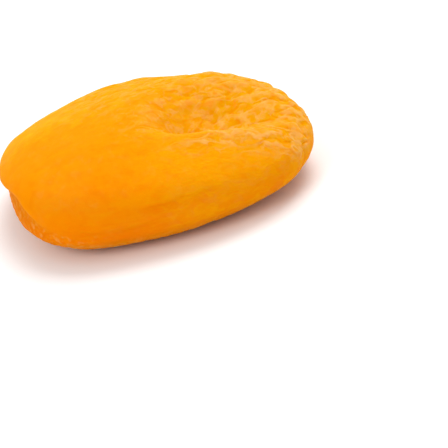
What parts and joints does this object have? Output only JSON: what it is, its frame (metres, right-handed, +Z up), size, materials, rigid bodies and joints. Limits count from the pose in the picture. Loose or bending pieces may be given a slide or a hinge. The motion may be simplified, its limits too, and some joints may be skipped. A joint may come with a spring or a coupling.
{
  "type": "dried apricot",
  "caption": "Whole dried apricot without its stone, pressed flat, with a smooth front, a hollow in the top and a finely wrinkled tip.",
  "frame": {"origin": "On the surface that the fruit lies on, under the middle of its bounding box.", "axes": "+X along the longer side, from the smooth end towards the wrinkled tip. -Y is the smooth front. +Z up, out of the top with the hollow."},
  "size_m": [0.0382, 0.0362, 0.011],
  "materials": {
    "flesh": "satin"
  },
  "bodies": {
    "root": {"dried_apricot": "flesh"}
  },
  "joints": []
}
